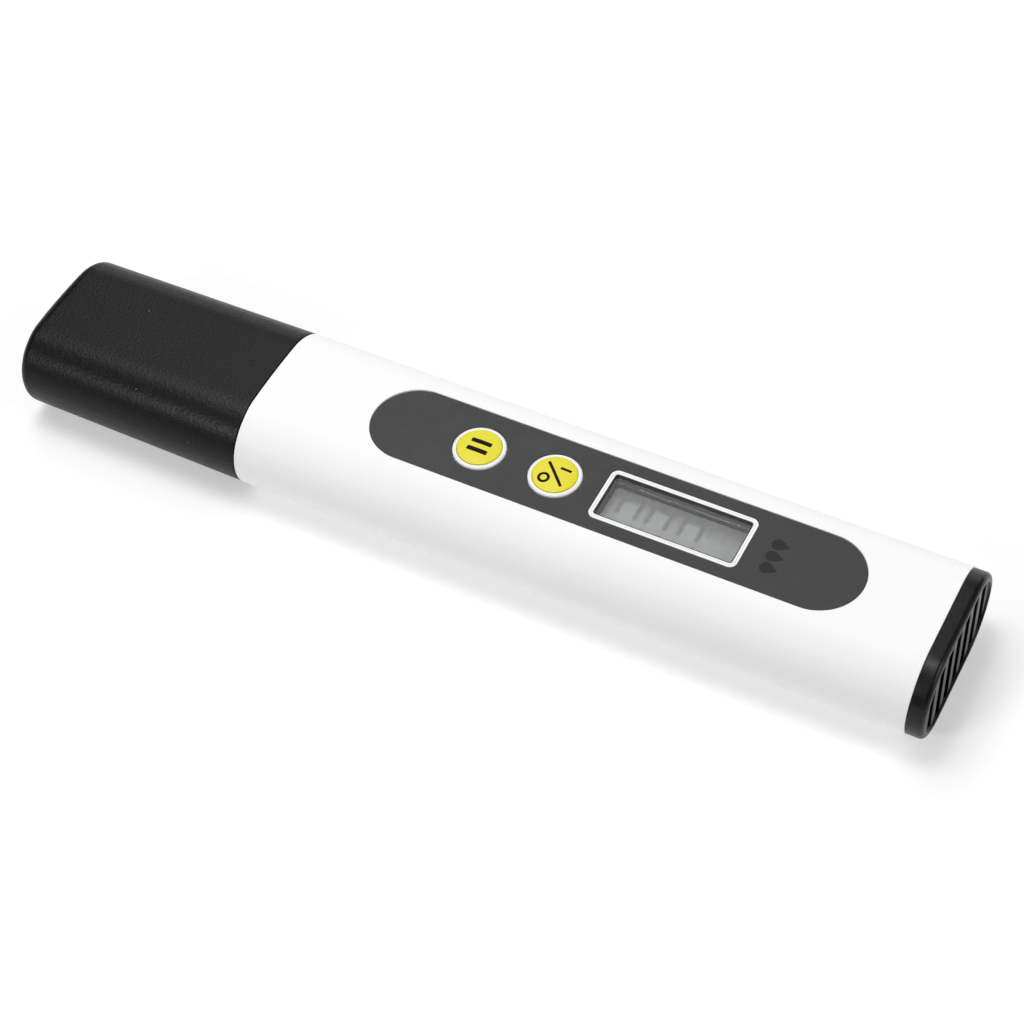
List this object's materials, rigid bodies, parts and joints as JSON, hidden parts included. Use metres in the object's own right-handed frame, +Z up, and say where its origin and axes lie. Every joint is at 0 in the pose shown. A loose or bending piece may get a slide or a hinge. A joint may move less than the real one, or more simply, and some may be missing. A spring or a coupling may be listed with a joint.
{
  "type": "digital water tester",
  "caption": "Pen-shaped digital water tester: white sleeve, black pull-off cap over the probe head, grey overlay with yellow keys and a display window, black ribbed battery end cap.",
  "frame": {"origin": "centre of the bounding box, at its base, where the flat underside rests", "axes": "+X along the pen from the probe cap to the battery end cap, +Z up out of the display, +Y across"},
  "size_m": [0.1518, 0.0278, 0.016],
  "materials": {
    "white_shell": "satin white moulded plastic",
    "black_shell": "fine textured black plastic",
    "overlay_grey": "satin dark grey film",
    "key_white": "white moulded plastic",
    "key_yellow": "lemon yellow plastic",
    "dark_plastic": "dark grey plastic",
    "clear_window": "clear acrylic",
    "lcd_face": "grey liquid crystal panel",
    "rubber_black": "soft black rubber",
    "pin_steel": "polished corrosion-proof electrode",
    "fastener_steel": "plated steel",
    "cell_steel": "nickel plated can",
    "contact_brass": "plated spring contact",
    "board_green": "solder-masked board",
    "chip_black": "moulded epoxy",
    "head_grey": "light grey moulded plastic",
    "reflector_foil": "reflector film",
    "lead_red": "red insulated lead",
    "lead_black": "black insulated lead"
  },
  "bodies": {
    "housing": {"main_housing": "white_shell", "label_overlay": "overlay_grey", "probe_head": "head_grey", "head_seal_ring": "rubber_black", "probe_pin_near": "pin_steel", "probe_pin_far": "pin_steel", "thermistor_bead": "chip_black", "probe_lead_near": "lead_black", "probe_lead_far": "lead_red", "tact_body_hold": "chip_black", "tact_body_power": "chip_black", "display_bezel": "key_white", "lcd_holder": "dark_plastic", "window_lens": "clear_window", "lcd_panel": "lcd_face", "lcd_reflector": "reflector_foil", "zebra_strip_near": "rubber_black", "zebra_strip_far": "rubber_black", "circuit_board": "board_green", "board_carrier": "head_grey", "board_screw_front": "fastener_steel", "board_screw_rear": "fastener_steel", "controller_chip": "chip_black", "amplifier_chip": "chip_black", "crystal_can": "fastener_steel", "filter_capacitor": "dark_plastic", "board_finger_near": "contact_brass", "board_finger_far": "contact_brass"},
    "cap": {"protective_cap": "black_shell"},
    "battery_drawer": {"end_cap": "black_shell", "end_cap_seal": "rubber_black", "battery_tray": "head_grey", "button_cell_inner": "cell_steel", "button_cell_outer": "cell_steel", "tray_contact_outer": "contact_brass", "tray_contact_inner": "contact_brass"},
    "hold_key": {"hold_keycap": "key_white", "hold_key_disc": "key_yellow", "tact_stem_hold": "dark_plastic"},
    "power_key": {"power_keycap": "key_white", "power_key_disc": "key_yellow", "tact_stem_power": "dark_plastic"}
  },
  "joints": [
    {"name": "cap_slide", "type": "slide", "parent": "housing", "child": "cap", "axis": [-1, 0, 0], "range_m": [0, 0.045]},
    {"name": "battery_slide", "type": "slide", "parent": "housing", "child": "battery_drawer", "axis": [1, 0, 0], "range_m": [0, 0.024]},
    {"name": "hold_press", "type": "slide", "parent": "housing", "child": "hold_key", "axis": [0, 0, -1], "range_m": [0, 0.0004], "stiffness_N_per_m": 800},
    {"name": "power_press", "type": "slide", "parent": "housing", "child": "power_key", "axis": [0, 0, -1], "range_m": [0, 0.0004], "stiffness_N_per_m": 800}
  ]
}
